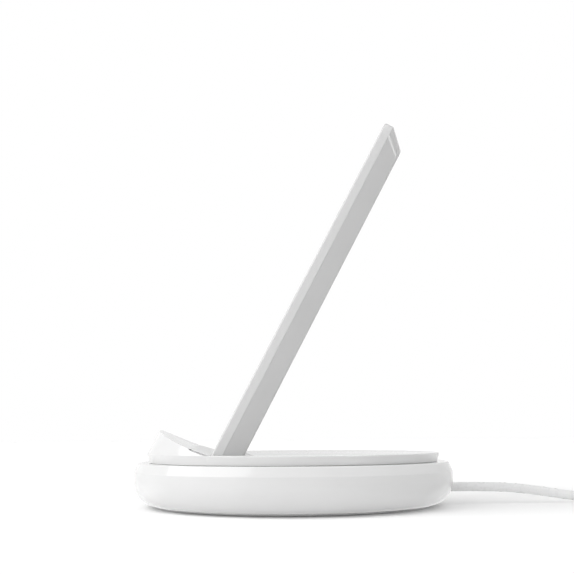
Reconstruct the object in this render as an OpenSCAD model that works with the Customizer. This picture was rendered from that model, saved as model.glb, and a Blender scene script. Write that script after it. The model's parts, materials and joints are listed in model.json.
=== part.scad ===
// Wireless desk charger. A weighted round base carries a deck with a raised front lip
// and a scooped ledge. An upright leans back from the ledge and holds two flat charging
// windings behind its front cover.
// +Z is up, +X points to the back, and the origin is the middle of the foot.

/* [Base] */
// Widest diameter of the base
base_d = 132; // [128:1:138]
// Height of the widest part of the belly
belly_z = 11.2; // [10.8:0.1:12]
// How far the belly curves in below its widest part
belly_w = 8.5; // [7.5:0.1:9]
// Height of the underside above the table
foot_gap = 0.5; // [0.4:0.1:0.8]
// Height of the thin upright rim round the underside
rim_h = 0.6; // [0.4:0.1:0.8]
// Step from the foot of the belly in to the rim
rim_in = 0.5; // [0.3:0.1:1]
// Height of the crease between belly and chamfer
crease_z = 14.3; // [13.8:0.1:14.8]
// Height of the flat shelf round the deck
shelf_z = 17.9; // [17.4:0.1:18.4]
// How far the chamfer leans in up to the shelf's edge
shelf_in = 1.7; // [1.2:0.1:2.2]
// Wall of the lower housing
base_wall = 2.2; // [1.8:0.1:2.6]
// Thickness of the housing's floor
floor_t = 2.6; // [2.4:0.1:3]

/* [Deck] */
// Diameter of the deck at its brim
deck_d = 121.6; // [118:0.2:124]
// Height of the deck above the shelf
deck_h = 3.6; // [3.2:0.1:3.9]
// How far the deck's edge wall leans in down to the shelf
deck_draft = 0.9; // [0.5:0.1:1.2]
// Thickness of the deck plate and of the walls of the lip
deck_t = 2; // [1.8:0.1:2.2]
// Radius on the brim's top edge
brim_r = 0.5; // [0.2:0.1:0.8]
// Width of the face that rests on the shelf
seat_w = 2.4; // [2:0.1:3]
// Depth of the skirt that drops into the lower housing
skirt_h = 3; // [2:0.1:4]

/* [Lip] */
// Height of the lip's tip above the deck
lip_h = 9.8; // [8.5:0.1:11]
// Depth of the scoop below a straight ledge
ledge_dip = 0.8; // [0.6:0.1:1.2]
// Width of the soft strip on the ledge
pad_w = 8; // [6:0.5:10]
// Thickness of the soft strip
pad_t = 0.8; // [0.6:0.1:1]
// How far the strip stands out of its recess
pad_proud = 0.2; // [0.1:0.1:0.3]

/* [Upright] */
// Angle between the upright and the table
lean = 62.3; // [60:0.1:66]
// Width of the upright
upright_w = 80; // [76:1:84]
// Length of the upright's front face above the deck
upright_len = 150.5; // [144:0.5:156]
// Where the front face meets the deck, measured from the base's axis
foot_x = -32.6; // [-34:0.1:-31]
// Depth of the front cover
cover_t = 3.7; // [3.4:0.1:4]
// Depth of the rear shell
shell_t = 7.35; // [7.2:0.05:8]
// Wall of cover and shell
shell_wall = 1.8; // [1.6:0.1:1.9]
// Radius of the two top corners
corner_r = 7.5; // [6:0.5:9]
// How far the shell's sides lean in towards the back
side_taper = 1.2; // [0.8:0.1:2]
// How far the shell's top slopes down towards the back
top_taper = 7.9; // [6:0.1:9]
// Bevel along the edges of cover and shell
edge_t = 0.6; // [0.4:0.1:0.8]

/* [Charging windings] */
// Outer diameter of a winding
coil_d = 41; // [38:0.5:42]
// Inner diameter of a winding
coil_bore = 19; // [16:0.5:22]
// Turns in a winding
coil_turns = 10; // [8:1:12]
// Height of the lower winding's centre along the upright
lower_coil_z = 42; // [41:0.5:43]
// Distance between the centres of the two windings
coil_pitch = 46; // [45:0.5:48]

/* [Board and weight] */
// Length of the main board from front to back
board_l = 46; // [44:1:48]
// Width of the main board
board_w = 50; // [48:1:54]
// Diameter of the steel weight
weight_d = 80; // [76:1:82]
// Thickness of the steel weight
weight_t = 3; // [2:0.5:3]

/* [Cord] */
// Diameter of the cord
cord_d = 3.9; // [3.7:0.1:3.9]
// Height of the cord where it leaves the base
cord_z = 6.9; // [6.8:0.1:7.3]
// Diameter of the stored coil at the middle of its turns
store_d = 40; // [39:0.5:44]

/* [Hidden] */

fn_big = 144;
fn_scoop = 180;
fn_mid = 48;
fn_small = 32;
arc_steps = 18;
cut = 0.1;
thin = 0.01;
big = 400;
fit = 0.3;
snug = 0.05;

// Lower housing
base_r = base_d / 2;
belly_r = base_r - belly_w;
belly_h = belly_z - foot_gap - rim_h;
rim_r = belly_r - rim_in;
crease_in = 0.1;
floor_z = foot_gap + floor_t;
inner_h = belly_z - floor_z;
shelf_t = 2;
deck_r = deck_d / 2;
deck_z = shelf_z + deck_h;
deck_under = deck_z - deck_t;
opening_r = deck_r - deck_draft - seat_w;
skirt_r = opening_r - fit;
skirt_t = 1.8;
skirt_in = skirt_r - skirt_t;

// Soft ring in its groove under the floor
ring_in = 45.5;
ring_out = 54.5;
groove_t = 1.2;

// Screws that hold the deck down, hidden by the soft ring
deck_screw_ring = 50;
deck_screw_angles = [55, 125, 235, 305];
column_r = 5;
column_z = 11.5;
deck_boss_r = 3.7;
deck_screw_r = 1.5;
deck_screw_head_r = 2.8;
deck_screw_head_h = 2;
deck_screw_seat_z = 4.4;
deck_screw_top = 17.5;

// Weight and its two screws
weight_post_x = -22;
weight_post_y = 20;
post_r = 3;
weight_top = floor_z + weight_t;
screw_r = 1.25;
screw_head_r = 2.4;
wide_head_r = 3.8;
screw_head_h = 1.5;
screw_bite = 3.5;

// Main board and what stands on it
board_from_edge = 44;
board_x = base_r - board_from_edge;
board_t = 1.6;
board_z = 10.4;
board_top = board_z + board_t;
post_inset = 4;
post_xs = [board_x - board_l / 2 + post_inset, board_x + board_l / 2 - post_inset];
post_ys = [-board_w / 2 + post_inset, board_w / 2 - post_inset];
inductor_size = [10, 10, 4];
inductor_y = 12;
capacitor_r = 2.6;
capacitor_h = 5;
capacitor_xs = [9, 15.5];
capacitor_ys = [-11, -4.5, 4.5, 11];
control_chip = [7, 7, 1];
driver_chip = [5, 6, 1.2];
driver_x = -10;
driver_y = 9;
socket_l = 5;
socket_w = 12;
socket_h = 2.5;
flex_socket_x = board_x - board_l / 2 + socket_l;
cord_socket_l = 6;
cord_socket_w = 10;
cord_socket_skin = 0.2;
cord_socket_end = board_x + board_l / 2;
cord_socket_x = cord_socket_end - cord_socket_l;

// Cord exit and clamp
cord_r = cord_d / 2;
bush_wall = 0.95;
bush_lip = 0.65;
bush_r = cord_r + bush_wall;
bush_l = 8;
bush_in = base_r - bush_l;
bush_flange_r = bush_r + bush_lip;
bush_flange_t = 1.4;
bush_boss_r = 5.5;
clamp_from_edge = 14;
clamp_x = base_r - clamp_from_edge;
clamp_l = 6;
clamp_w = 18;
clamp_t = 2;
clamp_screw_y = 6;
clamp_z = cord_z + cord_r;

// Lip and ledge: the ledge is part of a wide cylinder that lies across the deck
tip_x = -deck_r + lip_h / tan(lean);
tip_z = deck_z + lip_h;
chord = norm([foot_x - tip_x, lip_h]);
scoop_r = chord * chord / (8 * ledge_dip) + ledge_dip / 2;
scoop_x = (tip_x + foot_x) / 2 + lip_h / chord * (scoop_r - ledge_dip);
scoop_z = (tip_z + deck_z) / 2 + (foot_x - tip_x) / chord * (scoop_r - ledge_dip);
pad_sunk = pad_t - pad_proud;
hollow_z = shelf_z + deck_t;

// Layers inside the upright, counted back from its front face
back_x = cover_t + shell_t;
coil_t = 1.2;
sensor_r = 2;
coil_x = shell_wall + cut;
ferrite_x = coil_x + coil_t;
ferrite_t = 0.8;
carrier_x = ferrite_x + ferrite_t;
carrier_t = 1.6;
blade_x = carrier_x + carrier_t;
blade_t = 1.2;
boss_x = blade_x + blade_t;
inner_back = back_x - shell_wall;
carrier_w = 62;
carrier_z0 = 9;
carrier_margin = 10;
carrier_screw_gap = 5.5;
carrier_z1 = lower_coil_z + coil_pitch + coil_d / 2 + carrier_margin;
pocket_r = coil_d / 2 + fit;
pocket_wall = 1.2;
carrier_screw_y = 17;
carrier_screw_zs = [lower_coil_z - coil_d / 2 - carrier_screw_gap,
                    carrier_z1 - carrier_margin + carrier_screw_gap];
shell_boss_r = 2.7;
rim_step = 1;

// Bent steel plate: a blade inside the upright and a flange under the deck
blade_w = 44;
blade_short = 4;
blade_top = carrier_z1 - blade_short;
flange_z = 14.3;
flange_mid = flange_z + blade_t / 2;
flange_end = -5;
bracket_screw_xs = [-20, -9.5];
bracket_screw_y = 15;
bracket_boss_r = 3;
bracket_screw_top = 18.8;

// Flat lead from the windings to the board
flex_t = 0.3;
flex_w = 8;
flex_x = boss_x + 0.1 + flex_t / 2;
window_z = lower_coil_z + coil_pitch / 2;
window_h = 12;
window_w = 12;
lead_slot_h = 2;
flex_low = 17.2;

// Cord route on the table, from the exit to the stored coil
cord_sides = 8;
cord_points = [[base_r, 0, cord_z], [72, 0, 6.9], [80, 0, 6.8], [88, 0, 6.6], [96, 0, 6], [104, 0, 5],
               [112, 0.3, 3.8], [120, 0.7, 2.7], [128, 1.2, 2.1], [136, 1.7, 2], [142, 2.2, 2],
               [147, 2.5, 2.1]];
run_end = cord_points[len(cord_points) - 1];
store_cols = 3;
store_rows = 4;
tie_t = 0.6;
tie_angle = 22;
store_r = store_d / 2;
store_half = store_cols * cord_d / 2;
store_out = store_r + store_half;
store_h = store_rows * cord_d;
store_x = run_end[0] + fit + sqrt(2 * store_out * cord_d - cord_d * cord_d);
store_y = run_end[1] - cord_r + store_out;

// Plug at the end of the cord, flat on the table
plug_nose_l = 5;
plug_nose_r = 2.4;
plug_heel_r = 3.4;
plug_l = 22;
plug_w = 15;
plug_h = 7.5;
plug_z = plug_h / 2;
plug_round = 2;
metal_l = 12;
metal_w = 12;
metal_h = 4.5;
metal_t = 0.4;
latch = 2;
latch_y = 2.4;
tongue_h = 1.8;
tongue_short = 1;

// Cord route from the stored coil to the plug
tail_angle = -56;
tail_x = store_x + (store_out + cord_r + fit) * cos(tail_angle);
tail_y = store_y + (store_out + cord_r + fit) * sin(tail_angle);
tail_points = [[tail_x, tail_y, 14], [tail_x + 7, tail_y + 4, 12.4], [tail_x + 12, tail_y + 9, 10],
               [tail_x + 15, tail_y + 15, 7.2], [tail_x + 16, tail_y + 21, 5],
               [tail_x + 16, tail_y + 27, plug_z], [tail_x + 16, tail_y + 32, plug_z]];
tail_end = tail_points[len(tail_points) - 1];

// Points of a closed outline that follows a path with the given thickness
function path_dir(p, i) =
    let (a = p[max(i - 1, 0)], b = p[min(i + 1, len(p) - 1)],
         u = (p[i] - a) / max(norm(p[i] - a), thin), v = (b - p[i]) / max(norm(b - p[i]), thin),
         s = u + v) s / norm(s);
function path_side(p, i) = let (d = path_dir(p, i)) [-d[1], d[0]];
function path_mitre(p, i) =
    let (j = i == 0 ? 1 : i, w = p[j] - p[j - 1], n = [-w[1], w[0]] / norm(w)) n * path_side(p, i);
function strip(p, t) = concat(
    [for (i = [0:len(p) - 1]) p[i] + path_side(p, i) * t / 2 / path_mitre(p, i)],
    [for (i = [len(p) - 1:-1:0]) p[i] - path_side(p, i) * t / 2 / path_mitre(p, i)]);

// A place in the upright, given by depth and height along it, as world X and Z
function slab_point(x, z) =
    [foot_x + x * sin(lean) + z * cos(lean), deck_z - x * cos(lean) + z * sin(lean)];
// The world X of a depth in the upright at a given world Z
function slab_at(x, z) = [foot_x + x / sin(lean) + (z - deck_z) / tan(lean), z];

// Ring of points round a cord's path, and the tube through all its rings
function cord_dir(p, i) = let (d = p[min(i + 1, len(p) - 1)] - p[max(i - 1, 0)]) d / norm(d);
function cord_ring(p, i) =
    let (d = cord_dir(p, i), s = cross([0, 0, 1], d) / norm(cross([0, 0, 1], d)), u = cross(d, s))
    [for (k = [0:cord_sides - 1]) let (a = k * 360 / cord_sides) p[i] + cord_r * (cos(a) * s + sin(a) * u)];

module tube(p) {
    rings = [for (i = [0:len(p) - 1]) each cord_ring(p, i)];
    last = (len(p) - 1) * cord_sides;
    sides = [for (i = [0:len(p) - 2], k = [0:cord_sides - 1])
        let (m = (k + 1) % cord_sides, a = i * cord_sides)
        [a + k, a + cord_sides + k, a + cord_sides + m, a + m]];
    start = [[for (k = [0:cord_sides - 1]) k]];
    end = [[for (k = [cord_sides - 1:-1:0]) last + k]];
    polyhedron(points = rings, faces = concat(sides, start, end));
}

// A screw with a flat round head, its head's seat at the origin and its shank along +Z
module screw(r, head_r, head_h, length) {
    translate([0, 0, -head_h]) cylinder(r = head_r, h = head_h, $fn = fn_small);
    translate([0, 0, -thin]) cylinder(r = r, h = length + thin, $fn = fn_small);
}

module at_deck_screws() {
    for (a = deck_screw_angles)
        translate([deck_screw_ring * cos(a), deck_screw_ring * sin(a), 0]) children();
}

module at_weight_posts() {
    for (s = [-1, 1]) translate([weight_post_x, s * weight_post_y, 0]) children();
}

module at_board_posts() {
    for (x = post_xs, y = post_ys) translate([x, y, 0]) children();
}

module at_clamp_screws() {
    for (s = [-1, 1]) translate([clamp_x, s * clamp_screw_y, 0]) children();
}

module at_bracket_screws() {
    for (x = bracket_screw_xs, s = [-1, 1]) translate([x, s * bracket_screw_y, 0]) children();
}

module at_carrier_screws() {
    for (s = [-1, 1], z = carrier_screw_zs)
        translate([0, s * carrier_screw_y, z]) rotate([0, 90, 0]) children();
}

// Puts its children in the upright: x is depth, y is width and z runs up along it
module slab() {
    translate([foot_x, 0, deck_z]) rotate([0, 90 - lean, 0]) children();
}

// Keeps what stands above the deck
module above_deck() {
    difference() {
        children();
        translate([-big / 2, -big / 2, deck_z - big]) cube(big);
    }
}

module left_of(x) {
    translate([x - big, -big / 2, 0]) cube(big);
}

// Round bar or hole along X
module along_x(r, x0, x1) {
    translate([x0, 0, cord_z]) rotate([0, 90, 0]) cylinder(r = r, h = x1 - x0, $fn = fn_mid);
}

// Soft ring that the charger stands on
module foot_ring() {
    color("gainsboro")
        difference() {
            cylinder(r = ring_out, h = foot_gap + groove_t, $fn = fn_big);
            translate([0, 0, -cut]) cylinder(r = ring_in, h = foot_gap + groove_t + 2 * cut, $fn = fn_big);
        }
}

// Points up the belly's curve, from its foot to its widest part
function belly(w, h) = [for (i = [0:arc_steps]) let (a = -90 + 90 * i / arc_steps)
    [belly_r + w * cos(a), belly_z + h * sin(a)]];

module bowl_profile() {
    inner = belly(belly_w - base_wall, inner_h);
    polygon(concat(
        [[0, foot_gap], [rim_r, foot_gap], [rim_r, foot_gap + rim_h]],
        belly(belly_w, belly_h),
        [[base_r - crease_in, crease_z], [base_r - shelf_in, shelf_z], [opening_r, shelf_z],
         [opening_r, shelf_z - shelf_t], [base_r - shelf_in - base_wall, shelf_z - shelf_t],
         [base_r - crease_in - base_wall, crease_z]],
        [for (i = [arc_steps:-1:0]) inner[i]],
        [[0, floor_z]]));
}

// Solid that fills the belly up to the crease, with its skin cut back
module belly_fill(back, h) {
    rotate_extrude($fn = fn_big) polygon(concat(
        [[0, belly_z - h]], belly(belly_w - back, h), [[base_r - back, crease_z], [0, crease_z]]));
}

// Hole that a screw bites into
module pilot() {
    cylinder(r = screw_r + snug, h = screw_bite + cut, $fn = fn_small);
}

// Lower housing with screw columns, posts, cable saddle and cord exit
module base_bowl() {
    color("white")
        difference() {
            union() {
                rotate_extrude($fn = fn_big) bowl_profile();
                at_deck_screws() translate([0, 0, foot_gap + groove_t])
                    cylinder(r = column_r, h = column_z - foot_gap - groove_t, $fn = fn_mid);
                at_weight_posts() translate([0, 0, floor_z - cut])
                    cylinder(r = post_r, h = weight_t + cut, $fn = fn_mid);
                at_board_posts() translate([0, 0, floor_z - cut])
                    cylinder(r = post_r, h = board_z - floor_z + cut, $fn = fn_mid);
                translate([clamp_x - clamp_l / 2, -clamp_w / 2, floor_z - cut])
                    cube([clamp_l, clamp_w, clamp_z - floor_z + cut]);
                intersection() {
                    along_x(bush_boss_r, bush_in, base_r);
                    belly_fill(base_wall / 2, inner_h + cut);
                }
            }
            difference() {
                translate([0, 0, foot_gap - cut])
                    cylinder(r = ring_out + snug, h = groove_t + cut, $fn = fn_big);
                translate([0, 0, foot_gap - 2 * cut])
                    cylinder(r = ring_in - snug, h = groove_t + 3 * cut, $fn = fn_big);
            }
            at_deck_screws() {
                translate([0, 0, -cut])
                    cylinder(r = deck_screw_head_r + fit, h = deck_screw_seat_z + cut, $fn = fn_small);
                cylinder(r = deck_screw_r + fit, h = column_z + cut, $fn = fn_small);
            }
            at_weight_posts() translate([0, 0, weight_top - screw_bite]) pilot();
            at_board_posts() translate([0, 0, board_z - screw_bite]) pilot();
            at_clamp_screws() translate([0, 0, clamp_z - screw_bite]) pilot();
            translate([clamp_x - clamp_l, -cord_r - snug, cord_z])
                cube([2 * clamp_l, cord_d + 2 * snug, big]);
            along_x(cord_r + snug, clamp_x - clamp_l, clamp_x + clamp_l);
            along_x(bush_r + snug, clamp_x, base_r + cut);
        }
}

// Steel weight on the floor, notched for the cord's socket
module ballast_plate() {
    notch_w = cord_socket_w + 2 * fit;
    color("silver")
        difference() {
            translate([0, 0, floor_z]) cylinder(d = weight_d, h = weight_t, $fn = fn_big);
            translate([cord_socket_x - fit, -notch_w / 2, 0]) cube([base_r, notch_w, weight_top + cut]);
            translate([0, 0, -cut]) {
                at_weight_posts() cylinder(r = post_r + fit, h = big, $fn = fn_mid);
                at_board_posts() cylinder(r = post_r + fit, h = big, $fn = fn_mid);
            }
        }
}

module ballast_screws() {
    color("dimgray") at_weight_posts() translate([0, 0, weight_top])
        rotate([180, 0, 0]) screw(screw_r, wide_head_r, screw_head_h, screw_bite - fit);
}

// Printed circuit board on four posts
module main_board() {
    color("darkgreen")
        difference() {
            translate([board_x - board_l / 2, -board_w / 2, board_z]) cube([board_l, board_w, board_t]);
            at_board_posts() translate([0, 0, board_z - cut])
                cylinder(r = screw_r + snug, h = board_t + 2 * cut, $fn = fn_small);
        }
}

module board_screws() {
    color("dimgray") at_board_posts() translate([0, 0, board_top])
        rotate([180, 0, 0]) screw(screw_r, screw_head_r, screw_head_h, screw_bite + board_t - fit);
}

// Box that stands on the board, placed by its middle
module on_board(x, y, size) {
    translate([board_x + x - size[0] / 2, y - size[1] / 2, board_top]) cube(size);
}

module inductors() {
    color("dimgray") for (s = [-1, 1]) on_board(0, inductor_y * s, inductor_size);
}

module capacitors() {
    color("silver") for (x = capacitor_xs, y = capacitor_ys)
        translate([board_x + x, y, board_top]) cylinder(r = capacitor_r, h = capacitor_h, $fn = fn_small);
}

module chips() {
    color("black") {
        on_board(0, 0, control_chip);
        for (s = [-1, 1]) on_board(driver_x, driver_y * s, driver_chip);
    }
}

module flex_socket() {
    color("ivory") translate([flex_socket_x - socket_l / 2, -socket_w / 2, board_top])
        cube([socket_l, socket_w, socket_h]);
}

// Socket under the board that takes the lead
module cord_socket() {
    low = cord_z - cord_r - cord_socket_skin;
    color("ivory") translate([cord_socket_x, -cord_socket_w / 2, low])
        cube([cord_socket_l, cord_socket_w, board_z - low]);
}

// Last stretch of the lead, inside the base
module inner_lead() {
    color("white") along_x(cord_r, cord_socket_end, base_r);
}

module cord_clamp() {
    color("ivory") difference() {
        translate([clamp_x - clamp_l / 2, -clamp_w / 2, clamp_z]) cube([clamp_l, clamp_w, clamp_t]);
        at_clamp_screws() translate([0, 0, clamp_z - cut])
            cylinder(r = screw_r + snug, h = clamp_t + 2 * cut, $fn = fn_small);
    }
}

module clamp_screws() {
    color("dimgray") at_clamp_screws() translate([0, 0, clamp_z + clamp_t])
        rotate([180, 0, 0]) screw(screw_r, screw_head_r, screw_head_h, screw_bite + clamp_t - fit);
}

// Soft bush that lines the cord's hole and ends flush with the belly
module cord_grommet() {
    color("white")
        difference() {
            intersection() {
                union() {
                    along_x(bush_flange_r, bush_in - bush_flange_t, bush_in);
                    along_x(bush_r, bush_in - thin, base_r);
                }
                belly_fill(0, belly_h);
            }
            along_x(cord_r + thin, bush_in - bush_flange_t - cut, base_r + cut);
        }
}

// Disc that leans with the upright as it rises, so its edge runs on as the lip's wall
module leaning_disc(r, z0, z1) {
    hull() for (z = [z0, z1 - thin])
        translate([(z - deck_z) / tan(lean), 0, z]) cylinder(r = r, h = thin, $fn = fn_big);
}

module scoop(r) {
    translate([scoop_x, 0, scoop_z]) rotate([90, 0, 0])
        cylinder(r = r, h = 2 * base_r, center = true, $fn = fn_scoop);
}

module deck_profile() {
    polygon(concat(
        [[0, deck_under], [skirt_in, deck_under], [skirt_in, shelf_z - skirt_h],
         [skirt_r, shelf_z - skirt_h], [skirt_r, shelf_z], [deck_r - deck_draft, shelf_z],
         [deck_r, deck_z - brim_r]],
        [for (a = [15:15:90]) [deck_r - brim_r + brim_r * cos(a), deck_z - brim_r + brim_r * sin(a)]],
        [[0, deck_z]]));
}

// Upper housing: plate, brim, skirt, screw bosses and the hollow lip with its ledge
module deck() {
    color("white")
        difference() {
            union() {
                rotate_extrude($fn = fn_big) deck_profile();
                difference() {
                    intersection() {
                        union() {
                            leaning_disc(deck_r, deck_z, tip_z);
                            rotate_extrude($fn = fn_big) translate([deck_r - 2 * brim_r, deck_z - brim_r])
                                square([2 * brim_r, brim_r]);
                        }
                        left_of(foot_x);
                    }
                    scoop(scoop_r);
                }
                at_deck_screws() translate([0, 0, column_z])
                    cylinder(r = deck_boss_r, h = deck_under - column_z + cut, $fn = fn_mid);
                at_bracket_screws() translate([0, 0, flange_z + blade_t])
                    cylinder(r = bracket_boss_r, h = deck_under - flange_z - blade_t + cut, $fn = fn_mid);
            }
            difference() {
                intersection() {
                    union() {
                        leaning_disc(deck_r - deck_t, hollow_z, tip_z);
                        translate([0, 0, deck_under - cut])
                            cylinder(r = skirt_in, h = hollow_z - deck_under + 2 * cut, $fn = fn_big);
                    }
                    left_of(foot_x - deck_t);
                }
                scoop(scoop_r + deck_t);
            }
            intersection() {
                scoop(scoop_r + pad_sunk);
                translate([foot_x - pad_w, -base_r, deck_under]) cube([pad_w, base_d, base_r]);
            }
            slab() translate([blade_x - snug, -blade_w / 2 - fit, -big / 2])
                cube([flex_x + flex_t - blade_x + fit, blade_w + 2 * fit, big / 2 + 2 * deck_t]);
            at_deck_screws() cylinder(r = deck_screw_r + snug, h = deck_screw_top + cut, $fn = fn_small);
            at_bracket_screws() cylinder(r = screw_r + snug, h = bracket_screw_top + cut, $fn = fn_small);
        }
}

module deck_screws() {
    color("dimgray") at_deck_screws() translate([0, 0, deck_screw_seat_z])
        screw(deck_screw_r, deck_screw_head_r, deck_screw_head_h, deck_screw_top - deck_screw_seat_z);
}

// Soft strip in the ledge, against the foot of the upright
module ledge_pad() {
    color("whitesmoke")
        difference() {
            intersection() {
                leaning_disc(deck_r - fit, deck_under, tip_z);
                scoop(scoop_r + pad_sunk - snug);
                translate([foot_x - pad_w + snug, -base_r, deck_under])
                    cube([pad_w - 2 * snug, base_d, base_r]);
            }
            scoop(scoop_r - pad_proud);
        }
}

// Steel plate whose blade carries the upright and whose flange is screwed under the deck
module stem_bracket() {
    mid = blade_x + blade_t / 2;
    color("lightgray")
        difference() {
            translate([0, blade_w / 2, 0]) rotate([90, 0, 0]) linear_extrude(blade_w)
                polygon(strip([slab_point(mid, blade_top), slab_at(mid, flange_mid),
                               [flange_end, flange_mid]], blade_t));
            at_bracket_screws() translate([0, 0, flange_z - cut])
                cylinder(r = screw_r + fit, h = blade_t + 2 * cut, $fn = fn_small);
            slab() {
                at_carrier_screws() translate([0, 0, blade_x - cut])
                    cylinder(r = screw_r + snug, h = blade_t + 2 * cut, $fn = fn_small);
                translate([blade_x - cut, -window_w / 2, window_z - window_h / 2])
                    cube([blade_t + 2 * cut, window_w, window_h]);
            }
        }
}

module bracket_screws() {
    color("dimgray") at_bracket_screws() translate([0, 0, flange_z])
        screw(screw_r, screw_head_r, screw_head_h, bracket_screw_top - flange_z);
}

module at_coils() {
    for (z = [lower_coil_z, lower_coil_z + coil_pitch]) translate([0, 0, z]) rotate([0, 90, 0]) children();
}

// Moulded tray with a round pocket for each winding
module coil_carrier() {
    color("whitesmoke") slab()
        difference() {
            union() {
                translate([carrier_x, -carrier_w / 2, carrier_z0])
                    cube([carrier_t, carrier_w, carrier_z1 - carrier_z0]);
                at_coils() translate([0, 0, ferrite_x]) difference() {
                    cylinder(r = pocket_r + pocket_wall, h = ferrite_t + cut, $fn = fn_big);
                    translate([0, 0, -cut]) cylinder(r = pocket_r, h = ferrite_t + 3 * cut, $fn = fn_big);
                }
            }
            at_carrier_screws() translate([0, 0, carrier_x - cut])
                cylinder(r = screw_r + snug, h = carrier_t + 2 * cut, $fn = fn_small);
            translate([carrier_x - cut, -window_w / 2, window_z - lead_slot_h / 2])
                cube([carrier_t + 2 * cut, window_w, lead_slot_h]);
        }
}

module carrier_screws() {
    color("dimgray") slab() at_carrier_screws() translate([0, 0, carrier_x])
        screw(screw_r, screw_head_r, screw_head_h, inner_back - carrier_x);
}

module ferrite_sheets() {
    color("dimgray") slab() at_coils() translate([0, 0, ferrite_x])
        cylinder(d = coil_d, h = ferrite_t, $fn = fn_big);
}

// Flat winding: a ring with a shallow groove between its turns
module winding(z) {
    pitch = (coil_d - coil_bore) / 2 / coil_turns;
    r0 = coil_bore / 2;
    groove = coil_t / 4;
    tops = [for (i = [0:coil_turns - 1]) each
        [[r0 + i * pitch, groove], [r0 + (i + 0.25) * pitch, 0], [r0 + (i + 0.75) * pitch, 0]]];
    slab() translate([0, 0, z]) rotate([0, 90, 0]) translate([0, 0, coil_x]) rotate_extrude($fn = fn_big)
        polygon(concat(tops, [[coil_d / 2, groove], [coil_d / 2, coil_t], [r0, coil_t]]));
}

module lower_coil() {
    color("peru") winding(lower_coil_z);
}

module upper_coil() {
    color("peru") winding(lower_coil_z + coil_pitch);
}

// Temperature sensor on the lower ferrite
module thermistor() {
    color("black") slab() translate([coil_x, 0, lower_coil_z]) rotate([0, 90, 0])
        cylinder(r = sensor_r, h = coil_t, $fn = fn_small);
}

// Flat lead that runs down behind the steel blade and on to the board
module flex_cable() {
    touch = blade_x + flex_t / 2 + snug;
    color("darkorange") translate([0, flex_w / 2, 0]) rotate([90, 0, 0]) linear_extrude(flex_w)
        polygon(strip([slab_point(touch, window_z + window_h / 2 - 1), slab_point(touch, window_z + 1),
                       slab_point(flex_x, window_z - window_h / 2 + 2), slab_at(flex_x, flex_low),
                       [flex_socket_x - 2, flex_low], [flex_socket_x, flex_low - 1],
                       [flex_socket_x, board_top + socket_h]], flex_t));
}

// Outline of the upright with two round top corners, cut down by an inset all round
module panel(inset, drop, r) {
    w = upright_w - 2 * inset;
    l = upright_len - drop + upright_w / 4;
    translate([-w / 2, -upright_w / 4]) square([w, l - r]);
    translate([-w / 2 + r, -upright_w / 4]) square([w - 2 * r, l]);
    for (s = [-1, 1]) translate([s * (w / 2 - r), l - r - upright_w / 4]) circle(r = r, $fn = fn_small);
}

// The outline as a thin plate at a depth in the upright
module panel_at(x, inset, drop, r, t = thin) {
    translate([x, 0, 0]) rotate([90, 0, 90]) linear_extrude(t) panel(inset, drop, r);
}

// Front half of the upright, a shallow tray with a locating rim
module front_cover() {
    color("white") above_deck() slab() {
        difference() {
            hull() {
                panel_at(0, edge_t, edge_t, corner_r - edge_t);
                panel_at(edge_t, 0, 0, corner_r, cover_t - edge_t);
            }
            panel_at(shell_wall, shell_wall, shell_wall, corner_r - shell_wall, cover_t);
        }
        difference() {
            panel_at(cover_t - rim_step, shell_wall - thin, shell_wall - thin, corner_r - shell_wall,
                     rim_step - thin);
            panel_at(cover_t - rim_step - cut, shell_wall + rim_step, shell_wall + rim_step,
                     corner_r - shell_wall - rim_step, 2 * rim_step);
        }
    }
}

// Rear half of the upright, with sides and top that lean in towards the back
module rear_shell() {
    lean_in = side_taper * (shell_t - edge_t) / shell_t;
    drop = top_taper * (shell_t - edge_t) / shell_t;
    back_r = corner_r - side_taper;
    color("white") above_deck() slab()
        difference() {
            union() {
                difference() {
                    hull() {
                        panel_at(cover_t, 0, 0, corner_r);
                        panel_at(back_x - edge_t, lean_in, drop, back_r);
                        panel_at(back_x - thin, side_taper + edge_t, top_taper + edge_t, back_r - edge_t);
                    }
                    hull() {
                        panel_at(cover_t - cut, shell_wall, shell_wall, corner_r - shell_wall);
                        panel_at(inner_back - thin, side_taper + shell_wall, top_taper + shell_wall,
                                 back_r - shell_wall);
                    }
                }
                at_carrier_screws() translate([0, 0, boss_x])
                    cylinder(r = shell_boss_r, h = inner_back - boss_x + cut, $fn = fn_mid);
            }
            at_carrier_screws() translate([0, 0, boss_x - cut])
                cylinder(r = screw_r + snug, h = inner_back - boss_x + cut + snug, $fn = fn_small);
        }
}

module cord_run() {
    color("white") tube(cord_points);
}

module cord_tail() {
    color("white") tube(tail_points);
}

module at_store() {
    translate([store_x, store_y, tie_t]) children();
}

// Outer shape of the stored coil
module cord_coil() {
    color("white") at_store() rotate_extrude($fn = fn_mid)
        translate([store_r - store_half, 0]) square([2 * store_half, store_h]);
}

// Tie round the stored coil
module cord_tie() {
    color("lightgray") at_store() rotate([0, 0, 90 - tie_angle / 2])
        rotate_extrude(angle = tie_angle, $fn = fn_mid) difference() {
            translate([store_r - store_half - tie_t, -tie_t])
                square([2 * (store_half + tie_t), store_h + 2 * tie_t]);
            translate([store_r - store_half - snug, -snug])
                square([2 * (store_half + snug), store_h + 2 * snug]);
        }
}

module at_plug() {
    translate(tail_end) rotate([-90, 0, 0]) children();
}

module plug_body() {
    color("white") at_plug() {
        cylinder(r1 = plug_nose_r, r2 = plug_heel_r, h = plug_nose_l + cut, $fn = fn_small);
        translate([0, 0, plug_nose_l]) linear_extrude(plug_l) difference() {
            square([plug_w, plug_h], center = true);
            for (i = [-1, 1], j = [-1, 1]) translate([i * plug_w / 2, j * plug_h / 2]) difference() {
                square(2 * plug_round, center = true);
                translate([-i * plug_round, -j * plug_round]) circle(r = plug_round, $fn = fn_small);
            }
        }
    }
}

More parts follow.
